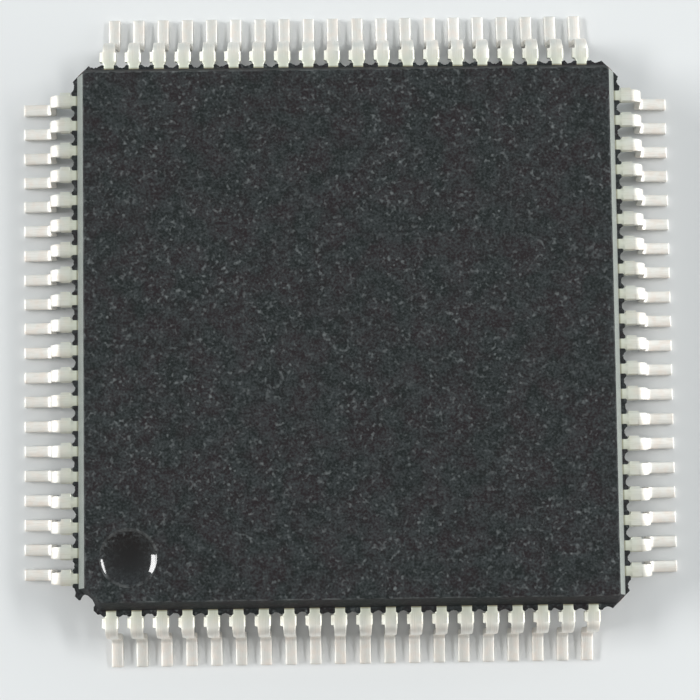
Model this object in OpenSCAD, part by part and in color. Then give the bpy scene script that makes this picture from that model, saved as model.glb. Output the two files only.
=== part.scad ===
// Quad flat pack chip: a moulded body with a row of gull-wing leads on each of its four sides.
// Millimetres, +Z up. The origin is the centre of the plane that the feet of the leads stand on.
// Lead 1 is at the left end of the front row, and the leads count anticlockwise from there.

/* [Moulded body] */
// Width of the body across the band that the leads come out of
body_w = 14; // [11:0.5:18]
// Height of the body, from its underside to its top
body_h = 2.2; // [1.8:0.1:3]
// Gap between the underside of the body and the plane that the feet stand on
standoff = 0.1; // [0:0.02:0.3]
// Lean of the side walls from the vertical, in degrees, which frees the body from its mould
draft = 17; // [5:1:20]
// Cut across each plain corner, measured along the side
corner_cut = 0.2; // [0.1:0.05:0.3]
// Wider cut across the corner beside lead 1
index_cut = 0.55; // [0.35:0.05:0.55]

/* [Index dimple] */
// Diameter of the dimple that marks lead 1
dimple_d = 1.45; // [1:0.05:1.8]
// Depth of the dimple
dimple_depth = 0.2; // [0.05:0.05:0.3]
// Distance from the left edge of the top to the dimple's centre
dimple_from_left = 1.1; // [1:0.05:2.5]
// Distance from the front edge of the top to the dimple's centre
dimple_from_front = 1.1; // [1:0.05:2.5]

/* [Gate mark] */
// Diameter of the round bite that is left where the resin's gate was punched off beside lead 1
gate_d = 0.4; // [0.3:0.02:0.5]
// Depth of that bite into the corner's cut
gate_depth = 0.14; // [0.04:0.02:0.2]

/* [Ejector mark] */
// Diameter of the round mark that the mould's ejector pin leaves under the body
ejector_d = 2.4; // [1:0.1:4]
// Depth of the ejector mark
ejector_depth = 0.05; // [0.02:0.01:0.1]

/* [Leads outside the body] */
// Distance from one lead to the next along a side, which has as many leads as fit
pitch = 0.65; // [0.5:0.05:1]
// Least distance from the end of a side to the middle of its first lead
row_margin = 0.8; // [0.8:0.05:1.2]
// Width of a lead
lead_w = 0.29; // [0.2:0.01:0.33]
// Thickness of the metal strip that leads, paddle and tie bars are stamped from
lead_t = 0.15; // [0.1:0.01:0.2]
// Distance from the body to the toe of a lead
lead_reach = 1.6; // [1.5:0.05:2]
// Flat run of a lead between the body and its first bend
shoulder = 0.46; // [0.4:0.01:0.6]
// Inside radius of both bends
bend_r = 0.15; // [0.1:0.01:0.25]
// Lean of the leg from the vertical, in degrees, between the two bends
leg_lean = 8; // [0:1:15]

/* [Trimmed dam bar] */
// Width of a lead where the stubs of the trimmed dam bar are left on it
stub_w = 0.42; // [0.34:0.01:0.46]
// Distance from the body to the stubs
stub_gap = 0.18; // [0.12:0.01:0.2]
// Length of the stubs at their full width
stub_len = 0.22; // [0.1:0.01:0.24]
// Length of the slope that leads up to the stubs at each end
stub_ramp = 0.03; // [0.01:0.01:0.05]

/* [Moulding flash] */
// Reach of the resin flash half way between two leads
flash_mid = 0.1; // [0.05:0.01:0.12]
// Reach of the resin flash where it stands against the leads
flash_side = 0.17; // [0.13:0.01:0.2]
// Width of the flash that the trimming punch leaves against each lead
flash_ear = 0.05; // [0.02:0.01:0.06]

/* [Lead frame inside the body] */
// Width of the square that the inner tips of the leads lie on
tips_w = 8; // [7.6:0.1:9]
// Distance from a corner of that square to the middle of the nearest tip
tips_corner = 0.58; // [0.5:0.02:1]
// Width of an inner tip
tip_w = 0.2; // [0.1:0.01:0.2]
// Straight length of an inner tip, where its wire is bonded
tip_len = 0.35; // [0.25:0.05:0.6]
// Width of the square paddle that carries the chip
paddle_w = 6.8; // [5.4:0.1:7]
// Depth of the paddle below the leads
paddle_drop = 0.2; // [0.05:0.05:0.35]
// Width of the four tie bars that hold the paddle from the corners
tie_w = 0.2; // [0.1:0.01:0.2]
// Least resin between a tie bar and the nearest lead
tie_gap = 0.13; // [0.1:0.01:0.15]
// Length of the flat start of a tie bar, beyond the paddle's corner
tie_start = 0.1; // [0.05:0.05:0.3]
// Length, seen from above, of the slope that lifts a tie bar to the level of the leads
tie_slope = 0.4; // [0.3:0.05:0.6]

/* [Chip and bond wires] */
// Width of the square silicon chip
die_w = 4.8; // [3:0.1:5.2]
// Thickness of the chip
die_h = 0.35; // [0.2:0.01:0.4]
// Thickness of the adhesive under the chip
attach_h = 0.025; // [0.01:0.005:0.04]
// Width of the adhesive that shows round the chip
attach_rim = 0.1; // [0.05:0.01:0.15]
// Distance from the chip's edge to the middle of a bond pad
pad_inset = 0.12; // [0.08:0.01:0.2]
// Distance from the chip's corner to the middle of the first bond pad
pads_corner = 0.4; // [0.3:0.05:0.6]
// Thickness of a bond wire
wire_t = 0.025; // [0.02:0.005:0.03]
// Diameter of the ball that bonds a wire to its pad
ball_d = 0.07; // [0.05:0.01:0.09]
// Height of that ball
ball_h = 0.02; // [0.01:0.005:0.03]
// Rise of a wire's loop above the chip
loop_h = 0.2; // [0.1:0.01:0.3]
// Distance from the end of an inner tip to the end of its wire
stitch_inset = 0.15; // [0.1:0.01:0.2]
// Length of the flat stitch that ends a wire
stitch_len = 0.08; // [0.05:0.01:0.1]

/* [Hidden] */
$fn = 64;
SIDES = ["front", "right", "back", "left"];
GROUPS = 4;
function group_name(kind, side, group) = str(SIDES[side], "_", kind, "_", group + 1);

// Heights
body_top = standoff + body_h;
leads_under = standoff + (body_h - lead_t) / 2;
leads_top = leads_under + lead_t;
paddle_under = leads_under - paddle_drop;
attach_under = paddle_under + lead_t;
die_under = attach_under + attach_h;
die_top = die_under + die_h;

// Body, measured from its middle
taper = (body_h - lead_t) / 2 * tan(draft);
side_d = body_w / 2;
top_d = side_d - taper;
corner_d = (body_w - corner_cut) / sqrt(2);
index_d = (body_w - index_cut) / sqrt(2);

// Places along a side: lead i leaves the body at row_x(i), and its inner tip is at tip_x(i)
side_leads = floor((body_w - 2 * row_margin) / pitch) + 1;
function group_leads(group) =
    [floor(group * side_leads / GROUPS):floor((group + 1) * side_leads / GROUPS) - 1];
function centred(i, step) = (i - (side_leads - 1) / 2) * step;
function row_x(i) = centred(i, pitch);
function tip_x(i) = centred(i, (tips_w - 2 * tips_corner) / (side_leads - 1));
function pad_x(i) = centred(i, (die_w - 2 * pads_corner) / (side_leads - 1));

// Places out from the middle
tip_d = tips_w / 2;
root_d = row_x(side_leads - 1) + lead_w / 2 + (tie_w / 2 + tie_gap) * sqrt(2);
toe_d = side_d + lead_reach;
stub_d = side_d + stub_gap;

// Side view of a lead, as distance out and height along the middle of its strip: it turns down
// round its knee, runs down the leg and turns out again round its heel
BEND_STEPS = 8;
function arc(centre, r, from, to) =
    [for (k = [0:BEND_STEPS], a = from + (to - from) * k / BEND_STEPS) centre + r * [cos(a), sin(a)]];
turn = 90 - leg_lean;
mid_r = bend_r + lead_t / 2;
leg_len = (leads_under - 2 * mid_r * (1 - cos(turn))) / sin(turn);
knee = [side_d + shoulder, leads_under + lead_t / 2 - mid_r];
heel = [knee.x + 2 * mid_r * sin(turn) + leg_len * cos(turn), lead_t / 2 + mid_r];
lead_path = concat(
    [[tip_d, leads_under + lead_t / 2]],
    arc(knee, mid_r, 90, leg_lean),
    arc(heel, mid_r, 180 + leg_lean, 270),
    [[toe_d, lead_t / 2]]
);

// Corners of a strip of width w along a path, cut square at its ends and mitred at its turns
function unit(v) = v / norm(v);
function leftward(v) = [-v.y, v.x];
function before(path, k) = unit(path[max(k, 1)] - path[max(k, 1) - 1]);
function after(path, k) = unit(path[min(k + 1, len(path) - 1)] - path[min(k, len(path) - 2)]);
function mitre(a, b) = leftward(unit(a + b)) / (unit(a + b) * a);
function edge(path, w) = [for (k = [0:len(path) - 1]) path[k] + mitre(before(path, k), after(path, k)) * w / 2];
function reversed(list) = [for (k = [len(list) - 1:-1:0]) list[k]];
function strip(path, w) = concat(edge(path, w), reversed(edge(path, -w)));

// Turns a flat outline drawn as distance out and height, w wide, to stand out of the front side
module upright(w)
    rotate([90, 0, -90])
        linear_extrude(w, center = true) children();

// A wall-to-wall slab with both drafted sides, its band at left and right from the middle
module drafted_slab(left, right)
    rotate([90, 0, 0])
        linear_extrude(2 * body_w, center = true)
            polygon([
                [-left + taper, standoff], [right - taper, standoff],
                [right, leads_under], [right, leads_top],
                [right - taper, body_top], [-left + taper, body_top],
                [-left, leads_top], [-left, leads_under]
            ]);

module drafted_block()
    intersection() {
        drafted_slab(side_d, side_d);
        rotate([0, 0, 90]) drafted_slab(side_d, side_d);
        rotate([0, 0, 45]) drafted_slab(index_d, corner_d);
        rotate([0, 0, 135]) drafted_slab(corner_d, corner_d);
    }

// Round scallops that the trimming punch takes out of the front side's flash, one between each
// pair of leads and one at each end of the row, where the corners are cut by left_cut and right_cut
module punched_row(left_cut, right_cut) {
    kept = lead_w / 2 + flash_ear;
    row_end = row_x(side_leads - 1) + kept;
    gaps = concat(
        [for (i = [1:side_leads - 1]) [row_x(i - 1) + kept, row_x(i) - kept]],
        [[left_cut + flash_ear - side_d, -row_end], [row_end, side_d - right_cut - flash_ear]]
    );
    for (gap = gaps, width = gap[1] - gap[0])
        if (width > 2 * (flash_side - flash_mid))
            translate([(gap[0] + gap[1]) / 2, -side_d - flash_mid - width / 2]) circle(d = width);
}

// Thin resin left between the leads, as thick as they are, where the dam bar held it back
module flash()
    translate([0, 0, leads_under])
        linear_extrude(lead_t) difference() {
            intersection() {
                square(body_w + 2 * flash_side, center = true);
                rotate(45) translate([-index_d, -corner_d]) square([index_d + corner_d, 2 * corner_d]);
            }
            punched_row(index_cut, corner_cut);
            rotate(90) punched_row(corner_cut, corner_cut);
            rotate(180) punched_row(corner_cut, corner_cut);
            rotate(270) punched_row(corner_cut, index_cut);
        }

// Shallow round dish with polished walls, part of a sphere
module index_dimple() {
    sphere_r = (pow(dimple_d / 2, 2) + pow(dimple_depth, 2)) / (2 * dimple_depth);
    translate([dimple_from_left - top_d, dimple_from_front - top_d, body_top - dimple_depth + sphere_r])
        sphere(sphere_r);
}

// The punch that clears the gate bites through resin and tie bar alike
module gate_bite()
    rotate([0, 0, 45])
        translate([-index_d - gate_d / 2 + gate_depth, 0, -gate_d])
            cylinder(d = gate_d, h = body_top + 2 * gate_d);

module ejector_mark()
    translate([0, 0, standoff - ejector_depth])
        cylinder(d = ejector_d, h = 2 * ejector_depth);

// The resin fills every space round the lead frame, the chip and its wires
module moulded_body()
    color([0.17, 0.175, 0.18])
        difference() {
            union() {
                drafted_block();
                flash();
            }
            index_dimple();
            gate_bite();
            ejector_mark();
            for (side = [0:3], i = [0:side_leads - 1])
                rotate([0, 0, 90 * side]) {
                    translate([0, 0, leads_under]) linear_extrude(lead_t) lead_outline(i);
                    wire(i);
                }
            paddle_strip(beyond = flash_side);
            die_attach();
            silicon_die();
        }

// One lead from above: it fans in from its root to its tip, and keeps the stubs of the dam bar
module lead_outline(i) {
    stub_end = stub_d + stub_len + 2 * stub_ramp;
    // Middle and width of the lead at each distance out
    widths = [
        [tip_x(i), tip_w, tip_d], [tip_x(i), tip_w, tip_d + tip_len],
        [row_x(i), lead_w, root_d], [row_x(i), lead_w, stub_d],
        [row_x(i), stub_w, stub_d + stub_ramp], [row_x(i), stub_w, stub_end - stub_ramp],
        [row_x(i), lead_w, stub_end], [row_x(i), lead_w, toe_d]
    ];
    polygon(concat(
        [for (p = widths) [p[0] + p[1] / 2, -p[2]]],
        reversed([for (p = widths) [p[0] - p[1] / 2, -p[2]]])
    ));
}

// One lead: its outline from above, cut to the gull wing that its strip is bent into
module lead(i)
    intersection() {
        linear_extrude(leads_top) lead_outline(i);
        upright(body_w) polygon(strip(lead_path, lead_t));
    }

module lead_group(side, group)
    color([0.80, 0.79, 0.76])
        rotate([0, 0, 90 * side])
            for (i = group_leads(group)) lead(i);

// Square plate under the chip, with a bar to each corner that climbs to the level of the leads and
// ends flush with the corner's cut, or further out by beyond where it cuts its way through the resin
module paddle_strip(beyond) {
    paddle_corner = paddle_w / sqrt(2);
    bar_low = paddle_under + lead_t / 2;
    bar_high = leads_under + lead_t / 2;
    slope_start = paddle_corner + tie_start;
    translate([-paddle_w / 2, -paddle_w / 2, paddle_under]) cube([paddle_w, paddle_w, lead_t]);
    for (corner = [0:3])
        rotate([0, 0, 90 * corner - 45])
            upright(tie_w)
                polygon(strip([
                    [paddle_corner - tie_w, bar_low], [slope_start, bar_low],
                    [slope_start + tie_slope, bar_high],
                    [(corner == 0 ? index_d : corner_d) + beyond, bar_high]
                ], lead_t));
}

module die_paddle()
    color([0.72, 0.45, 0.30])
        difference() {
            paddle_strip(beyond = 0);
            gate_bite();
        }

module die_attach() {
    w = die_w + 2 * attach_rim;
    color([0.62, 0.62, 0.60])
        translate([-w / 2, -w / 2, attach_under]) cube([w, w, attach_h]);
}

module silicon_die()
    color([0.30, 0.33, 0.40])
        translate([-die_w / 2, -die_w / 2, die_under]) cube([die_w, die_w, die_h]);

// One bond wire: up from its ball, over the chip's edge in a loop and down flat onto the tip
module wire(i) {
    pad = [pad_x(i), pad_inset - die_w / 2];
    stitch = [tip_x(i), -tip_d - stitch_inset];
    run = norm(stitch - pad);
    loop_top = die_top + loop_h;
    landing = leads_top + wire_t / 2;
    color([0.90, 0.72, 0.30])
        translate(pad) {
            translate([0, 0, die_top]) cylinder(d = ball_d, h = ball_h);
            rotate([0, 0, atan2(stitch.y - pad.y, stitch.x - pad.x)])
                rotate([90, 0, 0])
                    linear_extrude(wire_t, center = true)
                        polygon(strip([
                            [0, die_top + ball_h / 2], [0, loop_top - 2 * wire_t], [2 * wire_t, loop_top],
                            [run / 3, loop_top], [run - stitch_len, landing], [run, landing]
                        ], wire_t));
        }
}

module wire_group(side, group)
    rotate([0, 0, 90 * side])
        for (i = group_leads(group)) wire(i);

moulded_body();
die_paddle();
die_attach();
silicon_die();
for (side = [0:3], group = [0:GROUPS - 1]) {
    lead_group(side, group);
    wire_group(side, group);
}
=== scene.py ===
"""Looks of a quad flat pack chip: fine leads, moulded body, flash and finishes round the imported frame.

Lengths are in millimetres until a mesh is made, and metres after that. Every row of leads is worked
out for the front side and then turned to its own side. "Out" is the distance from the middle of the
chip towards that side, "along" runs along the side, and height is above the plane of the feet.
"""

import logging
import math
from dataclasses import dataclass, field, replace
from enum import Enum, IntEnum
from typing import Any, Sequence

import bpy
import numpy as np
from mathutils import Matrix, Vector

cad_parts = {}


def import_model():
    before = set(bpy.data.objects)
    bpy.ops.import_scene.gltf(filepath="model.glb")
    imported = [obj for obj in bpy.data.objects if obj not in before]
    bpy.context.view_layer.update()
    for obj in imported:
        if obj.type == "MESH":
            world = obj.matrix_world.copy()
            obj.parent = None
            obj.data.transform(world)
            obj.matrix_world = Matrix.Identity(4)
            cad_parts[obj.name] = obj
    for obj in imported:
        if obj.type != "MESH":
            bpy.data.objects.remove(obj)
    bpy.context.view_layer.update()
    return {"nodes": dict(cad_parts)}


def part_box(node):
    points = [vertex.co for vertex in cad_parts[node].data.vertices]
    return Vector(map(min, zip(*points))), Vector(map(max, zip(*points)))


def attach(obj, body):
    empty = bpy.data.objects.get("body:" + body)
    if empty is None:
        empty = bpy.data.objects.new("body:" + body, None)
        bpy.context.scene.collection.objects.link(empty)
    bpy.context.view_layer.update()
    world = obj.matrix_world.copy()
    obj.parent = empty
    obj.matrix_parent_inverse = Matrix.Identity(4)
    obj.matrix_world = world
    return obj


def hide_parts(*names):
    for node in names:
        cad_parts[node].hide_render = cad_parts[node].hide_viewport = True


log = logging.getLogger("chip")

MM = 0.001

Colour = tuple[float, float, float]


class Side(Enum):
    """The four sides, each with the quarter turns that bring the front side round to it."""

    FRONT = 0
    RIGHT = 1
    BACK = 2
    LEFT = 3

    @property
    def label(self) -> str:
        """Name of the side, as the frame's nodes spell it."""
        return self.name.lower()

    def turn(self, points: np.ndarray) -> np.ndarray:
        """Turns points of the front side to this side.

        Args:
            points: Array whose last axis is x, y and z.

        Returns:
            The same points, turned about the vertical axis by exact quarter turns.
        """
        cos, sin = ((1, 0), (0, 1), (-1, 0), (0, -1))[self.value]
        turned = points.copy()
        turned[..., 0] = cos * points[..., 0] - sin * points[..., 1]
        turned[..., 1] = sin * points[..., 0] + cos * points[..., 1]
        return turned


# ---------------------------------------------------------------------------------------------
# Sizes
# ---------------------------------------------------------------------------------------------


@dataclass(frozen=True)
class PackageSizes:
    """Sizes that several pieces share, in millimetres; the overall ones are read from the frame."""

    toe: float
    top: float
    under: float
    tip: float
    side: float = 7.0
    strip: float = 0.15
    lead_width: float = 0.29
    pitch: float = 0.65
    row_leads: int = 20
    groups: int = 4
    draft: float = math.radians(17)
    corner_cut: float = 0.2
    index_cut: float = 0.55
    gate_r: float = 0.2
    gate_depth: float = 0.14
    skin: float = 0.004

    @classmethod
    def from_frame(cls) -> "PackageSizes":
        """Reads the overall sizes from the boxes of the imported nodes."""
        lead_low, lead_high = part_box("front_leads_1")
        body_low, body_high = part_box("moulded_body")
        return cls(
            toe=-lead_low.y / MM,
            top=body_high.z / MM,
            under=body_low.z / MM,
            tip=-lead_high.y / MM,
        )

    @property
    def band_low(self) -> float:
        """Height of the underside of the leads where they leave the body."""
        return (self.top + self.under - self.strip) / 2

    @property
    def band_high(self) -> float:
        """Height of the top of the leads where they leave the body."""
        return self.band_low + self.strip

    @property
    def taper(self) -> float:
        """How far the drafted walls lean in, from the band to the top or the underside."""
        return (self.top - self.band_high) * math.tan(self.draft)

    @property
    def index_chamfer(self) -> float:
        """Distance of the index corner's chamfer from the body's middle, along the diagonal."""
        return (2 * self.side - self.index_cut) / math.sqrt(2)

    @property
    def gate_middle(self) -> float:
        """Distance of the gate bite's centre from the body's middle, along the diagonal."""
        return self.index_chamfer + self.gate_r - self.gate_depth

    def row_place(self, lead: np.ndarray | int) -> np.ndarray | float:
        """Place of a lead along its side, from the side's middle."""
        return (lead - (self.row_leads - 1) / 2) * self.pitch


# ---------------------------------------------------------------------------------------------
# Surfaces made with numpy
# ---------------------------------------------------------------------------------------------


@dataclass
class Surface:
    """A closed surface: points in millimetres, faces, values at the points, and each face's finish."""

    points: np.ndarray
    faces: list[list[int]]
    values: dict[str, np.ndarray] = field(default_factory=dict)
    finishes: np.ndarray | None = None

    def joined(self, others: Sequence["Surface"]) -> "Surface":
        """Puts this surface and others of a single finish into one, as separate shells.

        Args:
            others: Surfaces that hold the same named values as this one.

        Returns:
            One surface with all the points and faces.
        """
        parts = [self, *others]
        starts = np.cumsum([0] + [len(part.points) for part in parts[:-1]])
        faces = [[corner + int(start) for corner in face]
                 for part, start in zip(parts, starts) for face in part.faces]
        values = {name: np.concatenate([part.values[name] for part in parts]) for name in self.values}
        return Surface(np.concatenate([part.points for part in parts]), faces, values)

    def to_object(self, name: str, sharp: float = math.radians(35)) -> bpy.types.Object:
        """Makes the Blender object, in metres, smooth except at edges steeper than the sharp angle.

        Args:
            name: Name of the object and its mesh.
            sharp: Angle between two faces above which the edge between them stays sharp.

        Returns:
            The linked object, whose values are float attributes on its points.
        """
        mesh = bpy.data.meshes.new(name)
        mesh.from_pydata((self.points * MM).tolist(), [], self.faces)
        for label, value in self.values.items():
            layer = mesh.attributes.new(label, "FLOAT", "POINT")
            layer.data.foreach_set("value", value.astype(np.float32).ravel())
        if self.finishes is not None:
            mesh.polygons.foreach_set("material_index", self.finishes.astype(np.int32))
        mesh.shade_smooth()
        mesh.set_sharp_from_angle(angle=sharp)
        made = bpy.data.objects.new(name, mesh)
        bpy.context.scene.collection.objects.link(made)
        return made


def ring_faces(rows: int, columns: int) -> list[list[int]]:
    """Quads between neighbouring rings of a grid whose columns close on themselves.

    Args:
        rows: Number of rings.
        columns: Number of points in each ring.

    Returns:
        One quad for each cell, from ring k to ring k + 1.
    """
    row = np.arange(rows - 1)[:, None] * columns
    here = np.arange(columns)[None, :]
    beyond = (here + 1) % columns
    quads = np.stack([row + here, row + columns + here, row + columns + beyond, row + beyond], axis=-1)
    return quads.reshape(-1, 4).tolist()


def tube(points: np.ndarray, values: dict[str, np.ndarray]) -> Surface:
    """Closes a grid of section rings along a path into a solid bar with flat ends.

    Args:
        points: Array of rings by section points by x, y and z; the section runs anticlockwise seen
            from the path's far end, so that the faces look outwards.
        values: Named values, each one number for each point of the grid.

    Returns:
        The closed surface.
    """
    rows, columns, _ = points.shape
    first = list(range(columns))
    last = [(rows - 1) * columns + corner for corner in reversed(range(columns))]
    faces = ring_faces(rows, columns) + [first, last]
    return Surface(points.reshape(-1, 3), faces, {name: value.reshape(-1) for name, value in values.items()})


def smoothstep(value: np.ndarray, low: float, high: float) -> np.ndarray:
    """Rises from 0 at low to 1 at high along 3t^2 - 2t^3, and stays level outside."""
    t = np.clip((value - low) / (high - low), 0.0, 1.0)
    return t * t * (3 - 2 * t)


def bend(start: Sequence[float], corner: Sequence[float], end: Sequence[float], steps: int) -> np.ndarray:
    """Quadratic curve that rounds a corner: (1-t)^2 start + 2t(1-t) corner + t^2 end.

    Args:
        start: First point of the curve.
        corner: Sharp corner that the curve is drawn towards.
        end: Last point of the curve.
        steps: Number of points.

    Returns:
        Array of points along the curve, ends included.
    """
    t = np.linspace(0.0, 1.0, steps)[:, None]
    return (1 - t) ** 2 * np.array(start) + 2 * t * (1 - t) * np.array(corner) + t**2 * np.array(end)


def arc(
    centre: np.ndarray, radius: float, first: float, last: float, steps: int = 13
) -> tuple[np.ndarray, np.ndarray]:
    """Points of an arc between two angles, and the unit vectors from its centre to them."""
    turn = np.linspace(first, last, steps)
    rays = np.stack([np.cos(turn), np.sin(turn)], axis=1)
    return centre + radius * rays, rays


def facing(points: np.ndarray, normal: Sequence[float]) -> np.ndarray:
    """Rows of each point followed by one normal that they all share."""
    return np.concatenate([points, np.tile(normal, (len(points), 1))], axis=1)


def spokes(centre: np.ndarray, ring: np.ndarray) -> np.ndarray:
    """Unit vectors from a centre to each point of a ring."""
    return (ring - centre) / np.linalg.norm(ring - centre, axis=1)[:, None]


def ragged(places: np.ndarray, grain: float, rng: np.random.Generator) -> np.ndarray:
    """Smooth random line: random heights every grain, joined by a straight line between them.

    Args:
        places: Places at which the line is wanted, in rising order.
        grain: Distance between the random heights.
        rng: Seeded source of the heights.

    Returns:
        Heights between -1 and 1.
    """
    knots = np.arange(places[0], places[-1] + 2 * grain, grain)
    return np.interp(places, knots, rng.uniform(-1.0, 1.0, len(knots)))


# ---------------------------------------------------------------------------------------------
# Shader nodes
# ---------------------------------------------------------------------------------------------


class Wiring:
    """Short way to add nodes to a tree and join them."""

    def __init__(self, tree: bpy.types.NodeTree) -> None:
        """Takes the tree that the nodes go into."""
        self.tree = tree

    def fill(self, node: bpy.types.Node, **inputs: Any) -> bpy.types.Node:
        """Gives inputs of a node their values, or links them.

        Args:
            node: The node.
            **inputs: Values or output sockets by input name, with _ for a space; a name like i0
                stands for the input's number.

        Returns:
            The same node.
        """
        for name, value in inputs.items():
            numbered = name[0] == "i" and name[1:].isdigit()
            socket = node.inputs[int(name[1:]) if numbered else name.replace("_", " ")]
            if isinstance(value, bpy.types.NodeSocket):
                self.tree.links.new(value, socket)
            else:
                socket.default_value = value
        return node

    def add(self, kind: str, settings: dict[str, Any] | None = None, **inputs: Any) -> bpy.types.Node:
        """Adds a node, sets its properties, and fills or links its inputs.

        Args:
            kind: Type name of the node, without ShaderNode in front.
            settings: Properties of the node, such as its operation.
            **inputs: Values or output sockets, named as in fill.

        Returns:
            The new node.
        """
        node = self.tree.nodes.new("ShaderNode" + kind)
        for name, value in (settings or {}).items():
            setattr(node, name, value)
        return self.fill(node, **inputs)

    def math(self, operation: str, *terms: Any) -> bpy.types.NodeSocket:
        """Output of a Math node on the given values or sockets."""
        inputs = {f"i{place}": term for place, term in enumerate(terms)}
        return self.add("Math", {"operation": operation}, **inputs).outputs[0]

    def times(self, first: Any, second: Any) -> bpy.types.NodeSocket:
        """Product of two values or sockets."""
        return self.math("MULTIPLY", first, second)

    def plus(self, first: Any, second: Any) -> bpy.types.NodeSocket:
        """Sum of two values or sockets."""
        return self.math("ADD", first, second)

    def span(
        self, value: Any, low: float, high: float, to_low: float = 0.0, to_high: float = 1.0
    ) -> bpy.types.NodeSocket:
        """Output of a Map Range node from low..high to to_low..to_high, held at its ends."""
        limits = {"From_Min": low, "From_Max": high, "To_Min": to_low, "To_Max": to_high}
        return self.add("MapRange", None, Value=value, **limits).outputs[0]

    def mix(self, share: Any, first: Any, second: Any) -> bpy.types.NodeSocket:
        """Colour from first, at a share of 0, to second, at 1, each a socket or a display colour."""
        ends = [colour(*end) if isinstance(end, tuple) else end for end in (first, second)]
        return self.add("Mix", {"data_type": "RGBA"}, i0=share, i6=ends[0], i7=ends[1]).outputs[2]

    def value(self, name: str) -> bpy.types.NodeSocket:
        """Number output of an Attribute node that reads the piece's own named value."""
        return self.add("Attribute", {"attribute_name": name}).outputs["Fac"]

    def noise(
        self, vector: Any, scale: Any, detail: float = 2.0, rough: float = 0.5, seed: float | None = None
    ) -> bpy.types.NodeSocket:
        """Factor output of a Noise Texture with blotches of about 1 / scale metres; a seed moves them."""
        inputs = {"Vector": vector, "Scale": scale, "Detail": detail, "Roughness": rough}
        if seed is None:
            return self.add("TexNoise", None, **inputs).outputs["Fac"]
        return self.add("TexNoise", {"noise_dimensions": "4D"}, W=seed, **inputs).outputs["Fac"]

    def bump(self, height: Any, depth: float, strength: float = 1.0) -> bpy.types.NodeSocket:
        """Normal output of a Bump node that raises a height of 1 by depth metres."""
        return self.add("Bump", None, Strength=strength, Distance=depth, Height=height).outputs[0]


def colour(red: float, green: float, blue: float) -> tuple[float, float, float, float]:
    """Turns a display colour of 0 to 255 a channel into the linear one that the shaders use."""
    shares = [channel / 255 for channel in (red, green, blue)]
    linear = [share / 12.92 if share <= 0.04045 else ((share + 0.055) / 1.055) ** 2.4 for share in shares]
    return (*linear, 1.0)


def start_group(name: str, outputs: Sequence[str]) -> tuple[Wiring, Any, Any, bpy.types.Node]:
    """Starts a shader node group that takes a Vector and a Size in metres.

    Args:
        name: Name of the group.
        outputs: Names of the numbers that it puts out.

    Returns:
        The group's wiring, its vector, the scale that goes with its size, and its output node.
    """
    group = bpy.data.node_groups.new(name, "ShaderNodeTree")
    group.interface.new_socket("Vector", in_out="INPUT", socket_type="NodeSocketVector")
    group.interface.new_socket("Size", in_out="INPUT", socket_type="NodeSocketFloat")
    for label in outputs:
        group.interface.new_socket(label, in_out="OUTPUT", socket_type="NodeSocketFloat")
    wire = Wiring(group)
    given = group.nodes.new("NodeGroupInput").outputs
    return wire, given["Vector"], wire.math("DIVIDE", 1.0, given["Size"]), group.nodes.new("NodeGroupOutput")


def eroded_grain_group() -> bpy.types.NodeTree:
    """Builds the texture of a spark-eroded mould: small rounded pits and a coarser swell under them.

    The pale specks are filler grains with their glints painted in: the highest peaks of another noise,
    more in some places than others.

    Returns:
        A group that puts out Height, Fine, Mottle and Speckle.
    """
    wire, vector, scale, out = start_group("eroded_grain", ("Height", "Fine", "Mottle", "Speckle"))
    pits = wire.noise(vector, scale, 3.0, 0.55)
    cell_scale = wire.times(scale, 1.2)
    cells = wire.add("TexVoronoi", {"feature": "SMOOTH_F1"}, Vector=vector, Scale=cell_scale, Smoothness=0.6)
    swell = wire.noise(vector, wire.times(scale, 0.35))
    height = wire.plus(wire.times(pits, 0.55), wire.times(cells.outputs["Distance"], 0.3))
    height = wire.plus(height, wire.times(swell, 0.35))
    peaks = wire.noise(vector, wire.times(scale, 0.62), 1.0, seed=7.3)
    crowd = wire.noise(vector, wire.times(scale, 0.12), 1.0, seed=2.1)
    speckle = wire.times(wire.span(peaks, 0.58, 0.84), wire.span(crowd, 0.35, 0.65, 0.35, 1.0))
    wire.fill(out, Height=height, Fine=pits, Mottle=swell, Speckle=speckle)
    return wire.tree


def metal_grain_group() -> bpy.types.NodeTree:
    """Builds the texture of rolled and plated strip: fine grains with lines drawn along the strip.

    Returns:
        A group whose Vector has its X along the strip, and which puts out Grain and Streaks.
    """
    wire, vector, scale, out = start_group("metal_grain", ("Grain", "Streaks"))
    grain = wire.noise(vector, scale, 2.0, 0.6)
    drawn = wire.add("Mapping", None, Vector=vector, Scale=(0.06, 1.0, 1.0)).outputs[0]
    wire.fill(out, Grain=grain, Streaks=wire.noise(drawn, wire.times(scale, 0.9), 3.0))
    return wire.tree


class Textures:
    """The shader groups that several finishes share, each built once."""

    def __init__(self) -> None:
        """Builds the groups."""
        self.eroded = eroded_grain_group()
        self.metal = metal_grain_group()


def start_material(name: str) -> tuple[bpy.types.Material, Wiring, bpy.types.Node]:
    """Makes an empty node material that ends in a Principled BSDF.

    Args:
        name: Name of the material.

    Returns:
        The material, the wiring of its tree, and its Principled BSDF.
    """
    material = bpy.data.materials.new(name)
    material.use_nodes = True
    material.node_tree.nodes.clear()
    wire = Wiring(material.node_tree)
    shader = wire.add("BsdfPrincipled")
    wire.add("OutputMaterial", None, Surface=shader.outputs[0])
    return material, wire, shader


# ---------------------------------------------------------------------------------------------
# Finishes
# ---------------------------------------------------------------------------------------------


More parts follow.
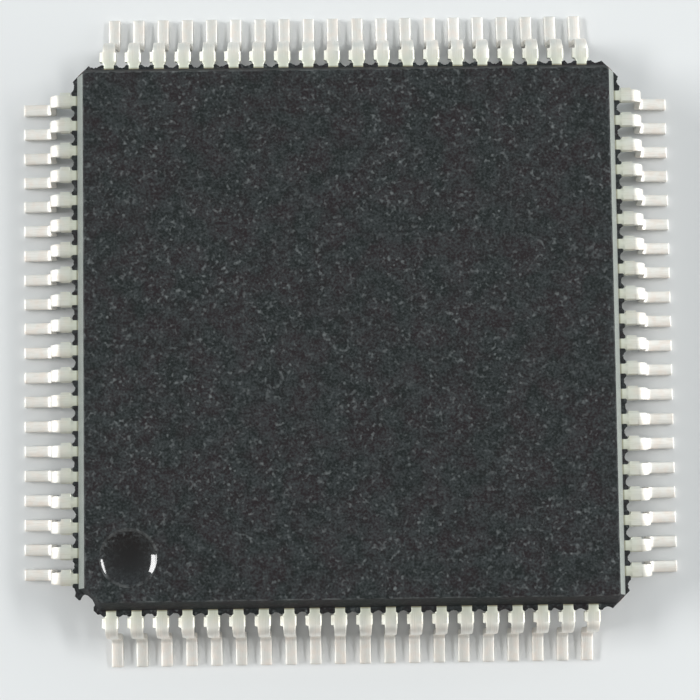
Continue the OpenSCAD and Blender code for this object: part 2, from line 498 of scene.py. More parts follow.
@dataclass(frozen=True)
class MouldingCompound:
    """Black epoxy moulding compound: pitted by its eroded mould, polished where pins shaped it."""

    name: str = "moulding_compound"
    dark: Colour = (9, 18, 17)
    brown: Colour = (24, 16, 19)
    light: Colour = (54, 59, 60)
    filler_glint: Colour = (110, 115, 115)
    worn: Colour = (104, 107, 106)
    # Tint of the sheen, which only the side walls' stand-in sheen shows
    sheen_colour: Colour = (248, 255, 247)
    grain: float = 6.4e-5
    patch: float = 8e-4
    wear: float = 2.2e-4
    depth: float = 6e-6
    matt: float = 0.68
    polished: float = 0.3
    sheen: float = 0.0
    sheen_rough: float = 0.78
    gloss: float = 0.3
    coat: float = 0.0
    coat_rough: float = 0.06

    def material(self, textures: Textures) -> bpy.types.Material:
        """Builds the material. The piece's "polish" value is 1 where the surface is polished.

        Args:
            textures: The shared shader groups.

        Returns:
            The finished material.
        """
        material, wire, shader = start_material(self.name)
        place = wire.add("TexCoord").outputs["Object"]
        grain = wire.add("Group", {"node_tree": textures.eroded}, Vector=place, Size=self.grain).outputs
        polish = wire.value("polish")
        rough = wire.math("SUBTRACT", 1.0, polish)
        swell = wire.span(grain["Mottle"], 0.34, 0.66, -0.26, 0.28)
        lift = wire.plus(wire.span(grain["Fine"], 0.38, 0.7, 0.0, 0.86), swell)
        tone = wire.mix(wire.span(wire.noise(place, 1 / self.patch), 0.4, 0.6), self.dark, self.brown)
        tone = wire.mix(wire.times(lift, rough), tone, self.light)
        # Pale specks: filler grains, with their glints painted in as colour
        tone = wire.mix(wire.times(grain["Speckle"], rough), tone, self.filler_glint)
        wear = wire.span(wire.noise(place, 1 / self.wear), 0.4, 0.7, 0.0, 0.5)
        tone = wire.mix(wire.times(wire.value("edge"), wear), tone, self.worn)
        matt = wire.span(grain["Mottle"], 0.3, 0.7, self.matt - 0.05, self.matt + 0.06)
        finish = wire.add("Mix", {"data_type": "FLOAT"}, i0=polish, i2=matt, i3=self.polished).outputs[0]
        height = wire.times(grain["Height"], wire.span(polish, 0.0, 1.0, 1.0, 0.04))
        wire.fill(
            shader,
            Base_Color=tone,
            Roughness=finish,
            Normal=wire.bump(height, self.depth),
            Specular_IOR_Level=self.gloss,
            Sheen_Weight=self.sheen,
            Sheen_Roughness=self.sheen_rough,
            Sheen_Tint=colour(*self.sheen_colour),
            Coat_Weight=self.coat,
            Coat_Roughness=self.coat_rough,
        )
        return material


class Zone(IntEnum):
    """Parts of the body's skin that differ in finish, numbered as its material slots; the walls are parted by
    how the side lamps light them.
    """

    TOP = 0
    WALL = 1
    RIGHT_WALL = 2
    LEFT_WALL = 3
    DIMPLE = 4


# Sheen kept to the left and right walls, standing in for the bright stripes that the side lamps light there;
# the right one is set brighter than the left
SIDE_LAMP_SHEEN = MouldingCompound(matt=0.5, depth=1.6e-5, sheen=1.0)
BODY_FINISHES = {
    Zone.TOP: MouldingCompound(),
    # Painted shade: the front, back and corner walls get darker pale grains and specks than the top, for the
    # shade that falls on them away from the side lamps
    Zone.WALL: MouldingCompound("shade_darkened_wall", light=(36, 40, 41), filler_glint=(68, 72, 72), gloss=0.15),
    Zone.RIGHT_WALL: replace(SIDE_LAMP_SHEEN, name="side_lamp_sheen_right", sheen_rough=0.6),
    Zone.LEFT_WALL: replace(SIDE_LAMP_SHEEN, name="side_lamp_sheen_left", sheen_rough=0.5),
    Zone.DIMPLE: MouldingCompound(
        "polished_dimple", dark=(9, 9, 9), brown=(14, 9, 9), polished=0.5, gloss=0.05, depth=3e-7, coat=0.95
    ),
}


@dataclass(frozen=True)
class TinnedStrip:
    """Matt tin over the outer leads, bare copper alloy inside the body, silver spots on the tips."""

    name: str = "tinned_lead"
    tin: Colour = (242, 240, 234)
    warm: Colour = (242, 230, 220)
    dull: Colour = (198, 198, 190)
    near_body_tone: Colour = (222, 226, 208)
    olive: Colour = (128, 134, 104)
    copper: Colour = (196, 128, 92)
    silver: Colour = (232, 230, 224)
    matt: float = 0.6
    grain: float = 2.6e-5
    blotch: float = 2.4e-4
    depth: float = 1.5e-6
    near_body_span: tuple[float, float] = (7.0, 7.62)
    olive_span: tuple[float, float] = (7.01, 7.05)

    def material(self, textures: Textures) -> bpy.types.Material:
        """Builds the material from the leads' own values: inside, tip, tint and out.

        The tin turns darker and greener towards where it leaves the resin, and olive in the last hairline
        beside it. The spans of both are distances out, in millimetres.

        Args:
            textures: The shared shader groups.

        Returns:
            The finished material.
        """
        material, wire, shader = start_material(self.name)
        along = wire.add("UVMap", {"uv_map": "strip"}).outputs[0]
        metal = wire.add("Group", {"node_tree": textures.metal}, Vector=along, Size=self.grain).outputs
        blotch = wire.noise(along, 1 / self.blotch)
        tone = wire.mix(wire.span(blotch, 0.42, 0.66, 0.0, 0.55), self.tin, self.warm)
        tone = wire.mix(wire.times(wire.value("tint"), 0.3), tone, self.dull)
        tone = wire.mix(wire.span(metal["Streaks"], 0.5, 0.72, 0.0, 0.32), tone, self.dull)
        # Darker and greener from where the lead leaves the resin out over the shoulder
        tone = wire.mix(wire.span(wire.value("out"), *self.near_body_span, 0.85, 0.0), tone, self.near_body_tone)
        tone = wire.mix(wire.span(wire.value("out"), *self.olive_span, 0.75, 0.0), tone, self.olive)
        bare = wire.mix(wire.value("tip"), self.copper, self.silver)
        streaked = wire.span(metal["Streaks"], 0.4, 0.7, -0.04, 0.06)
        wire.fill(
            shader,
            Base_Color=wire.mix(wire.value("inside"), tone, bare),
            Metallic=1.0,
            Roughness=wire.plus(wire.span(blotch, 0.3, 0.7, self.matt - 0.06, self.matt + 0.08), streaked),
            Normal=wire.bump(wire.plus(metal["Grain"], metal["Streaks"]), self.depth),
        )
        return material


@dataclass(frozen=True)
class HiddenFinish:
    """Finish of a piece sealed inside the body: a metal, adhesive or chip with its own grain."""

    name: str
    base: Colour
    shade: Colour
    metallic: float
    rough: float
    grain: float

    def material(self, textures: Textures) -> bpy.types.Material:
        """Builds the material.

        Args:
            textures: The shared shader groups.

        Returns:
            The finished material.
        """
        material, wire, shader = start_material(self.name)
        place = wire.add("TexCoord").outputs["Object"]
        metal = wire.add("Group", {"node_tree": textures.metal}, Vector=place, Size=self.grain).outputs
        wire.fill(
            shader,
            Base_Color=wire.mix(wire.span(metal["Streaks"], 0.35, 0.7), self.base, self.shade),
            Metallic=self.metallic,
            Roughness=wire.span(metal["Grain"], 0.3, 0.7, self.rough - 0.08, self.rough + 0.08),
            Normal=wire.bump(metal["Grain"], self.grain / 20, 0.6),
        )
        return material


COPPER_STRIP = HiddenFinish("copper_strip", (196, 128, 92), (172, 106, 74), 1.0, 0.38, 6e-5)
SILVER_ADHESIVE = HiddenFinish("silver_adhesive", (170, 170, 166), (140, 140, 136), 0.4, 0.55, 4e-5)
SILICON = HiddenFinish("silicon", (92, 98, 118), (70, 78, 104), 0.6, 0.2, 1.2e-4)
GOLD_WIRE = HiddenFinish("gold_wire", (236, 190, 92), (214, 166, 70), 1.0, 0.28, 2e-5)


# ---------------------------------------------------------------------------------------------
# Leads
# ---------------------------------------------------------------------------------------------


@dataclass(frozen=True)
class LeadRow:
    """The leads of one side: stamped strip, bent to a gull wing, with stubs of the trimmed dam bar."""

    sizes: PackageSizes
    finish: bpy.types.Material
    shoulder: float = 0.46
    bend_r: float = 0.15
    leg_lean: float = math.radians(8)
    foot_lean: float = math.radians(4)
    stub_gap: float = 0.19
    stub_len: float = 0.265
    stub_step: float = 0.008
    stub_sides: tuple[float, ...] = (0.062, 0.046, 0.066, 0.06)
    stub_side_play: tuple[float, float] = (-0.006, 0.004)
    stub_slope_in: float = 0.008
    stub_drop: float = 0.032
    stub_drop_play: float = 0.004
    trim_shift: tuple[float, float] = (-0.03, 0.018)
    fillet_len: float = 0.1
    fillet_side: float = 0.05
    neck_side: float = 0.02
    tip_len: float = 0.35
    tip_width: float = 0.2
    tips_corner: float = 0.58
    silver_to: tuple[float, float] = (0.3, 0.34)
    bare_at: tuple[float, float] = (-0.03, -0.01)
    root: float = 6.645
    wall_stations: tuple[float, ...] = (-0.12, -0.02, 0.02)
    edge_width: float = 0.028
    edge_drop: float = 0.011
    edge_shares: tuple[float, ...] = (1.0, 0.86, 0.14, 0.0)
    under_share: float = 0.1
    toe_roll: float = 0.03
    play: float = 0.006
    strip_apart: float = 7.0
    seed: int = 41

    @property
    def stub_start(self) -> float:
        """Distance out at which the stubs of the dam bar begin."""
        return self.sizes.side + self.stub_gap

    @property
    def stub_end(self) -> float:
        """Distance out at which the stubs of the dam bar end."""
        return self.stub_start + self.stub_len

    def flat_stations(self) -> np.ndarray:
        """Distances out along the flat part, closest where the stamped width changes."""
        size, step, start, end = self.sizes, self.stub_step, self.stub_start, self.stub_end
        return np.concatenate([
            [size.tip, size.tip + 0.5 * self.tip_len],
            np.linspace(size.tip + self.tip_len, self.root, 5),
            size.side + np.array(self.wall_stations),
            np.linspace(start - self.fillet_len, start, 6),
            [start + step, start + 3 * step, 0.5 * (start + end), end - 3 * step, end - step, end],
        ])

    def heel_middle(self, knee: np.ndarray, toe: np.ndarray, radius: float) -> np.ndarray:
        """Centre of the heel's arc: two radii across the leg from the knee's, then down beside it.

        It stops a radius above the foot's middle line, which falls by tan(fall) for each step out.

        Args:
            knee: Centre of the knee's arc.
            toe: End of the foot's middle line.
            radius: Radius of both arcs.

        Returns:
            The centre, as out and height.
        """
        lean, fall = self.leg_lean, self.foot_lean
        start = knee + 2 * radius * np.array([math.cos(lean), math.sin(lean)])
        above = toe + radius * np.array([math.sin(fall), math.cos(fall)])
        rise = above[1] + math.tan(fall) * (above[0] - start[0])
        leg = (start[1] - rise) / (math.cos(lean) - math.tan(fall) * math.sin(lean))
        return start + leg * np.array([math.sin(lean), -math.cos(lean)])

    def foot(self, start: np.ndarray, toe: np.ndarray) -> np.ndarray:
        """Stations down the straight foot to its toe, closest where the toe is rolled."""
        length = np.linalg.norm(toe - start)
        rolled = self.toe_roll * np.array([1.2, 0.6, 0.25, 0.0])
        travelled = np.concatenate([np.linspace(0.0, length - 2 * self.toe_roll, 7)[1:], length - rolled])
        return start + travelled[:, None] * np.array([math.cos(self.foot_lean), -math.sin(self.foot_lean)])

    def side_view(self) -> np.ndarray:
        """Middle line of the strip: flat from its tip, round the knee, down the leg, round the heel.

        Both bends are arcs of the same radius, the leg is the line that touches both, and the foot
        falls gently from the heel to the toe, which rests on the ground.

        Returns:
            One row for each station: out, height, and the two parts of the unit vector that points
            to the strip's upper face.
        """
        size, lean, fall = self.sizes, self.leg_lean, self.foot_lean
        half = size.strip / 2
        radius = self.bend_r + half
        knee = np.array([size.side + self.shoulder, size.band_high - half - radius])
        toe = np.array([size.toe - half * math.sin(fall), half * math.cos(fall)])
        heel = self.heel_middle(knee, toe, radius)
        knee_arc, knee_rays = arc(knee, radius, math.pi / 2, lean)
        heel_arc, heel_rays = arc(heel, radius, math.pi + lean, 1.5 * math.pi - fall)
        flat = self.flat_stations()
        flat = np.stack([flat, np.full_like(flat, size.band_high - half)], axis=1)
        leg = knee_arc[-1] + np.linspace(0.0, 1.0, 5)[1:-1, None] * (heel_arc[0] - knee_arc[-1])
        return np.concatenate([
            facing(flat, (0.0, 1.0)),
            np.concatenate([knee_arc, knee_rays], axis=1),
            facing(leg, (math.cos(lean), math.sin(lean))),
            np.concatenate([heel_arc, -heel_rays], axis=1),
            facing(self.foot(heel_arc[-1], toe), (math.sin(fall), math.cos(fall))),
        ])

    def middle(self, number: int, out: np.ndarray, rng: np.random.Generator) -> tuple[np.ndarray, np.ndarray]:
        """Place along the side of the strip's middle, and half of its stamped width.

        The strip runs straight along its tip, then fans out in a straight line to its root, and
        runs straight again outside the body, where its foot has a little side play.

        Args:
            number: Number of the lead, from the left end of the row.
            out: Distance out at each station.
            rng: Seeded source of the play.

        Returns:
            The middle and the half width at each station.
        """
        size = self.sizes
        tip_step = 2 * (size.tip - self.tips_corner) / (size.row_leads - 1)
        tip_place = (number - (size.row_leads - 1) / 2) * tip_step
        fan = np.clip((out - size.tip - self.tip_len) / (self.root - size.tip - self.tip_len), 0, 1)
        skew = rng.uniform(-self.play, self.play) * np.clip((out - size.side) / (size.toe - size.side), 0, 1)
        place = tip_place + (float(size.row_place(number)) - tip_place) * fan + skew
        return place, (self.tip_width + (size.lead_width - self.tip_width) * fan) / 2

    def edge(
        self, out: np.ndarray, on_flat: np.ndarray, stub_side: float, rng: np.random.Generator
    ) -> np.ndarray:
        """What stands beyond the stamped width at one edge: fillet, sheared stub, and neck behind it.

        The fillet rises by t^2 to the stub. The stub steps out at once, and its upper face falls
        in a straight slope, as the punch left it. The neck shrinks in a straight line to the knee.

        Args:
            out: Distance out at each station.
            on_flat: 1 at the stations before the strip has begun to turn down, else 0.
            stub_side: How far the stub reaches on this edge, by where the trimming punch stood.
            rng: Seeded source of the small differences from lead to lead.

        Returns:
            Three columns: extra half width, width of the sloping margin, and how far it falls.
        """
        size = self.sizes
        stub = self.stub_start + 1.5 * self.stub_step
        stub_end = self.stub_end - 0.5 * self.stub_step
        reach = stub_side + rng.uniform(*self.stub_side_play)
        rise = np.clip((out - stub + self.fillet_len) / self.fillet_len, 0, 1)
        in_stub = ((out > stub - self.stub_step) & (out < stub_end)).astype(float) * on_flat
        knee_end = size.side + self.shoulder + self.bend_r + size.strip / 2
        neck = self.neck_side * np.clip((knee_end - out) / (knee_end - stub_end), 0, 1)
        extra = np.where(out < stub, self.fillet_side * rise**2, neck)
        extra = extra + (reach - extra) * in_stub
        width = self.edge_width + (reach + self.stub_slope_in - self.edge_width) * in_stub
        stub_drop = self.stub_drop + rng.uniform(-self.stub_drop_play, self.stub_drop_play)
        drop = self.edge_drop + (stub_drop - self.edge_drop) * in_stub
        return np.stack([extra, width, drop], axis=1)

    def section(self, half: np.ndarray, right: np.ndarray, left: np.ndarray, drop: np.ndarray) -> np.ndarray:
        """Outline of the strip across its width: flat, with margins that slope down to its edges.

        Args:
            half: Half of the stamped width at each station.
            right: The right edge's extra half width, margin width and fall at each station.
            left: The same for the left edge.
            drop: How far the upper face lies below its full height at each station.

        Returns:
            Stations by section points by (across, up).
        """
        half_up = self.sizes.strip / 2
        small = self.under_share * self.sizes.strip
        quarter = np.linspace(0.0, math.pi / 2, 3)
        columns = []

        def slope(side: np.ndarray, sign: float, shares: Sequence[float]) -> None:
            """Adds the points of one upper margin, at shares of its width from its inner line."""
            for share in shares:
                across = sign * (half + side[:, 0] - side[:, 1] * (1 - share))
                columns.append(np.stack([across, half_up - drop - side[:, 2] * share], axis=1))

        def round_under(side: np.ndarray, sign: float, turns: np.ndarray) -> None:
            """Adds the points of one rounded lower corner."""
            for angle in turns:
                across = sign * (half + side[:, 0] - small * (1 - math.cos(angle)))
                columns.append(np.stack([across, small * (1 - math.sin(angle)) - half_up + 0 * half], axis=1))

        slope(right, 1.0, self.edge_shares)
        columns.append(np.stack([0 * half, half_up - drop], axis=1))
        slope(left, -1.0, self.edge_shares[::-1])
        round_under(left, -1.0, quarter)
        round_under(right, 1.0, quarter[::-1])
        return np.stack(columns, axis=1)

    def lead(
        self, number: int, stubs: tuple[float, float], rng: np.random.Generator
    ) -> tuple[Surface, np.ndarray]:
        """One lead of the front side: its section carried along its side view.

        A section point (across, up) at a station lies at the middle line, plus across along the
        side, plus up along the upper face's normal.

        Args:
            number: Number of the lead, from the left end of the row.
            stubs: How far the stubs on the right and left edges reach.
            rng: Seeded source of the small differences.

        Returns:
            The closed surface, and the strip's own coordinates of each point.
        """
        size = self.sizes
        out, height, normal_out, normal_up = self.side_view().T
        on_flat = (np.arange(len(out)) <= np.argmax(normal_up < 1)).astype(float)
        middle, half = self.middle(number, out, rng)
        right, left = (self.edge(out, on_flat, stub, rng) for stub in stubs)
        drop = self.edge_drop * np.clip((out - size.toe + self.toe_roll) / self.toe_roll, 0, 1) ** 2
        profile = self.section(half, right, left, drop)
        across, up = profile[..., 0], profile[..., 1]
        points = np.stack([
            middle[:, None] + across,
            -(out[:, None] + up * normal_out[:, None]),
            height[:, None] + up * normal_up[:, None],
        ], axis=-1)
        step = np.hypot(np.diff(out, prepend=out[0]), np.diff(height, prepend=height[0]))
        one = np.ones_like(across)
        values = {
            "inside": one * (1 - smoothstep(out - size.side, *self.bare_at))[:, None],
            "tip": one * (1 - smoothstep(out - size.tip, *self.silver_to))[:, None],
            "tint": one * rng.uniform(0.0, 1.0),
            "out": one * out[:, None],
        }
        travelled = np.cumsum(step)[:, None] + self.strip_apart * number
        return tube(points, values), np.stack([one * travelled, across], axis=-1).reshape(-1, 2)

    def build(self, side: Side) -> list[bpy.types.Object]:
        """Builds the side's groups of leads, each in place of the frame's node of the same name.

        Args:
            side: The side to build.

        Returns:
            The groups, from the left end of the side.
        """
        rng = np.random.default_rng(self.seed + side.value)
        per_group = self.sizes.row_leads // self.sizes.groups
        along = side.turn(np.array([1.0, 0.0, 0.0]))
        shift = float(along[0] * self.trim_shift[0] + along[1] * self.trim_shift[1])
        stubs = (self.stub_sides[side.value] + shift, self.stub_sides[side.value] - shift)
        made = []
        for group in range(self.sizes.groups):
            numbers = range(group * per_group, (group + 1) * per_group)
            leads, strips = zip(*(self.lead(number, stubs, rng) for number in numbers))
            surface = leads[0].joined(leads[1:])
            surface.points = side.turn(surface.points)
            node = f"{side.label}_leads_{group + 1}"
            piece = surface.to_object(f"{side.label}_gull_wings_{group + 1}")
            self.map_strip(piece, np.concatenate(strips))
            piece.data.materials.append(self.finish)
            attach(piece, "root")
            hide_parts(node)
            made.append(piece)
        return made

    @staticmethod
    def map_strip(piece: bpy.types.Object, strip: np.ndarray) -> None:
        """Gives a piece the UV map "strip", in metres along and across the strip."""
        layer = piece.data.uv_layers.new(name="strip")
        used = np.empty(len(piece.data.loops), np.int32)
        piece.data.loops.foreach_get("vertex_index", used)
        layer.data.foreach_set("uv", (strip[used] * MM).astype(np.float32).ravel())


# ---------------------------------------------------------------------------------------------
# Moulded body
# ---------------------------------------------------------------------------------------------


INDEX_OUT = np.array([math.cos(1.25 * math.pi), math.sin(1.25 * math.pi)])
INDEX_ACROSS = np.array([-INDEX_OUT[1], INDEX_OUT[0]])


@dataclass
class RingStack:
    """Rings of equally many points, in the order in which the skin runs over them."""

    rings: list[np.ndarray] = field(default_factory=list)
    polish: list[float] = field(default_factory=list)
    edge: list[float] = field(default_factory=list)

    def add(self, ring: np.ndarray, height: float, polish: float = 0.0, edge: float = 0.0) -> None:
        """Adds one ring at its height, with its values."""
        self.rings.append(np.column_stack([ring, np.full(len(ring), height)]))
        self.polish.append(polish)
        self.edge.append(edge)

    def closed(self, poles: np.ndarray, polish: Sequence[float]) -> Surface:
        """Closes the stack with a fan of triangles from a pole to each end ring.

        Args:
            poles: The point inside the first ring and the one inside the last.
            polish: The polish of the two poles.

        Returns:
            The closed surface: the faces ring by ring, then the first fan and the last.
        """
        rows, columns = len(self.rings), len(self.rings[0])
        here = np.arange(columns)
        beyond = (here + 1) % columns
        end = (rows - 1) * columns
        first_fan = np.stack([np.full(columns, rows * columns), here, beyond], axis=1)
        last_fan = np.stack([end + here, np.full(columns, rows * columns + 1), end + beyond], axis=1)
        faces = ring_faces(rows, columns) + first_fan.tolist() + last_fan.tolist()
        values = {
            "polish": np.append(np.repeat(self.polish, columns), polish),
            "edge": np.append(np.repeat(self.edge, columns), [0.0, 0.0]),
        }
        return Surface(np.concatenate([*self.rings, poles]), faces, values)


@dataclass(frozen=True)
class BodyShell:
    """The moulded body's skin: top with its dimple, drafted walls, corner cuts, gate bite, underside."""

    sizes: PackageSizes
    finishes: Sequence[bpy.types.Material]
    dimple_r: float = 0.725
    dimple_depth: float = 0.2
    dimple_from_left: float = 1.1
    dimple_from_front: float = 1.1
    dimple_soft: float = 0.035
    dimple_steps: int = 18
    dimple_fade: float = 0.8
    rim_steps: int = 7
    rim_worn: float = 0.03
    ejector_r: float = 1.2
    ejector_depth: float = 0.05
    ejector_soft: float = 0.02
    ejector_polish: float = 0.7
    edge_r: float = 0.035
    edge_steps: int = 6
    upright_r: float = 0.06
    wall_steps: int = 64
    index_steps: int = 60
    corner_steps: int = 8
    chip_size: float = 0.02
    chip_grain: float = 0.03
    top_shares: tuple[float, ...] = (0.06, 0.3, 0.6, 0.9, 0.985)
    under_shares: tuple[float, ...] = (0.985, 0.6, 0.3, 0.03)
    seed: int = 7

    @property
    def dimple_middle(self) -> np.ndarray:
        """Middle of the dimple, as x and y."""
        top_side = self.sizes.side - self.sizes.taper
        return np.array([self.dimple_from_left - top_side, self.dimple_from_front - top_side])

    def planes(self) -> list[tuple[float, float]]:
        """Direction and distance of the body's eight upright planes at the band, anticlockwise."""
        size = self.sizes
        corner = (2 * size.side - size.corner_cut) / math.sqrt(2) - size.skin
        index = size.index_chamfer - size.skin
        quarter = math.pi / 4
        return [(quarter * k, size.side if k % 2 == 0 else (index if k == 5 else corner)) for k in range(8)]

    def outline(self, inset: float) -> np.ndarray:
        """Plan of the body at one height: eight straight edges joined by small arcs.

        Each edge lies at its plane's distance less the inset, and a corner cut never beyond the
        corner that the two walls beside it make. The corners of the outline moved in by the upright
        radius are the centres of the arcs.

        Args:
            inset: How far the wall has leaned in from the band.

        Returns:
            Points in rising angle, as x and y.
        """
        radius = self.upright_r
        square = math.sqrt(2) * (self.sizes.side - inset) - (math.sqrt(2) - 1) * radius - self.sizes.skin
        planes = [(angle, min(distance - inset, square)) for angle, distance in self.planes()]
        centres = []
        for (first, near), (second, far) in zip(planes, planes[1:] + planes[:1]):
            lines = np.array([[math.cos(first), math.sin(first)], [math.cos(second), math.sin(second)]])
            centres.append(np.linalg.solve(lines, [near - radius, far - radius]))
        points = []
        for k, (angle, _) in enumerate(planes):
            normal = radius * np.array([math.cos(angle), math.sin(angle)])
            steps = self.wall_steps if k % 2 == 0 else (self.index_steps if k == 5 else self.corner_steps)
            share = np.linspace(0.0, 1.0, steps, endpoint=False)[:, None]
            points.append(centres[k - 1] + normal + share * (centres[k] - centres[k - 1]))
            turn = angle + np.linspace(0.0, math.pi / 4, 4, endpoint=False)
            points.append(centres[k] + radius * np.stack([np.cos(turn), np.sin(turn)], axis=1))
        return np.concatenate(points)

    def bitten(self, ring: np.ndarray, chips: np.ndarray) -> np.ndarray:
        """Takes the round gate bite out of a ring at the corner beside lead 1.

        Args:
            ring: Outline at one height.
            chips: Rough differences in the bite's depth, one for each point of the ring.

        Returns:
            The outline, no further out on the diagonal than the bite's round wall.
        """
        size = self.sizes
        distance, place = ring @ INDEX_OUT, ring @ INDEX_ACROSS
        wall = size.gate_middle - np.sqrt(np.maximum(size.gate_r**2 - place**2, 0.0)) - size.skin + chips
        reach = np.where(np.abs(place) < size.gate_r, np.minimum(distance, wall), distance)
        return ring + (reach - distance)[:, None] * INDEX_OUT

    def gate_chips(self, plan: np.ndarray) -> np.ndarray:
        """Rough differences in the gate bite's depth, one for each point of the plan."""
        places = plan @ INDEX_ACROSS
        order = np.argsort(places)
        rng = np.random.default_rng(self.seed)
        chips = np.empty(len(plan))
        chips[order] = self.chip_size * ragged(places[order], self.chip_grain, rng)
        return chips

    def wall_profile(self) -> np.ndarray:
        """Inset and height down the wall: top edge, upper wall, band, lower wall and bottom edge."""
        size, edge, taper = self.sizes, self.edge_r, self.sizes.taper
        lean = np.array([math.sin(size.draft), math.cos(size.draft)])
        top, under = np.array([taper, size.top]), np.array([taper, size.under])
        upper = bend(top + [edge, 0], top, top - edge * lean, self.edge_steps)
        lower = bend(under + edge * np.array([-lean[0], lean[1]]), under, under + [edge, 0], self.edge_steps)
        down = np.linspace(upper[-1], [0, size.band_high], 14)[1:]
        band = np.array([[0, size.band_high - 0.25 * size.strip], [0, size.band_low + 0.25 * size.strip]])
        back = np.linspace([0, size.band_low], lower[0], 14)[:-1]
        return np.concatenate([upper, down, band, back, lower])

    def dish_profile(self) -> np.ndarray:
        """Radius and height across the dimple: part of a sphere, then a small curve onto the top."""
        size, rim, soft = self.sizes, self.dimple_r, self.dimple_soft
        sphere = (rim**2 + self.dimple_depth**2) / (2 * self.dimple_depth)
        radius = np.linspace(0.0, rim - soft, self.dimple_steps)[1:]
        middle = size.top - self.dimple_depth + sphere
        dish = np.stack([radius, middle - np.sqrt(sphere**2 - radius**2)], axis=1)
        curve = bend(dish[-1], [rim, size.top], [rim + soft, size.top], self.rim_steps)
        return np.concatenate([dish[:-1], curve])

    def mark_profile(self) -> np.ndarray:
        """Radius and height across the ejector mark, from its rim to its middle."""
        size, rim, soft = self.sizes, self.ejector_r, self.ejector_soft
        floor = size.under + self.ejector_depth
        outer = bend([rim + soft, size.under], [rim, size.under], [rim - 0.1 * soft, size.under + soft], 4)
        inner = bend([rim - 0.2 * soft, floor - soft], [rim - 0.3 * soft, floor], [rim - soft, floor], 4)
        return np.concatenate([outer, inner, [[0.6 * rim, floor], [0.3 * rim, floor], [0.1 * rim, floor]]])

    def lay_top(self, stack: RingStack, plan: np.ndarray) -> int:
        """Lays the rings of the dimple, and of the top from its rim out to the wall's first ring.

        The dimple is polished by 1 - fade (r / rim)^2, and worn close to its rim.

        Args:
            stack: The rings so far.
            plan: The wall's first ring.

        Returns:
            How many of the rings have the dimple's finish, which ends half way up the rim's curve.
        """
        dish = self.dish_profile()
        rays = spokes(self.dimple_middle, plan)
        for radius, height in dish:
            polish = 1.0 - self.dimple_fade * min(radius / self.dimple_r, 1.0) ** 2
            worn = float(abs(radius - self.dimple_r + self.rim_worn / 3) < self.rim_worn)
            stack.add(self.dimple_middle + radius * rays, height, polish, worn)
        rim = self.dimple_middle + dish[-1][0] * rays
        for share in self.top_shares:
            stack.add(rim + share * (plan - rim), self.sizes.top)
        return len(dish) - self.rim_steps // 2

    def lay_underside(self, stack: RingStack, plan: np.ndarray) -> None:
        """Lays the rings of the underside from the wall's last ring in, and those of the ejector mark."""
        mark = self.mark_profile()
        rays = spokes(np.zeros(2), plan)
        rim = mark[0][0] * rays
        for share in self.under_shares:
            stack.add(rim + share * (plan - rim), self.sizes.under)
        for radius, height in mark:
            stack.add(radius * rays, height, self.ejector_polish if radius < self.ejector_r else 0.0)

    def surface(self) -> Surface:
        """The whole skin as rings: out from the dimple's middle, over the edge and in underneath.

        A ring of the top lies at its share of the way from the dimple's rim to the wall's first
        ring, and one of the underside in the same way between the mark's rim and the last ring.

        Returns:
            The closed surface with its values polish and edge.
        """
        size, stack, wall = self.sizes, RingStack(), self.wall_profile()
        plan = self.outline(wall[0][0])
        chips = self.gate_chips(plan)
        dish_rings = self.lay_top(stack, plan)
        wall_start = len(stack.rings) + self.edge_steps - 1
        for place, (inset, height) in enumerate(wall):
            at_edge = float(0 < place < self.edge_steps - 1)
            stack.add(self.bitten(self.outline(inset), chips), height, edge=at_edge)
        wall_end = len(stack.rings) - self.edge_steps // 2
        self.lay_underside(stack, self.outline(wall[-1][0]))
        poles = [[*self.dimple_middle, size.top - self.dimple_depth], [0, 0, size.under + self.ejector_depth]]
        skin = stack.closed(np.array(poles), [1.0, self.ejector_polish])
        ring, column = np.divmod(np.arange(len(skin.faces)), len(plan))
        # The left and right walls take the sheen that stands in for their lamp-lit stripes
        beside = np.abs(plan[:, 0]) > np.abs(plan[:, 0]).max() - size.skin
        # The front, back and corner walls take the finish darkened as painted shade
        wall_zones = np.where(beside, np.where(plan[:, 0] > 0, Zone.RIGHT_WALL, Zone.LEFT_WALL), Zone.WALL)
        on_wall = (ring >= wall_start) & (ring < wall_end)
        dished = (ring < dish_rings) | (ring == len(stack.rings) - 1)
        skin.finishes = np.where(on_wall, wall_zones[column], np.where(dished, Zone.DIMPLE, Zone.TOP))
        return skin

    def build(self) -> bpy.types.Object:
        """Builds the skin in place of the frame's plain body."""
        piece = self.surface().to_object("body_shell", math.radians(40))
        for finish in self.finishes:
            piece.data.materials.append(finish)
        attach(piece, "root")
        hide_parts("moulded_body")
        return piece


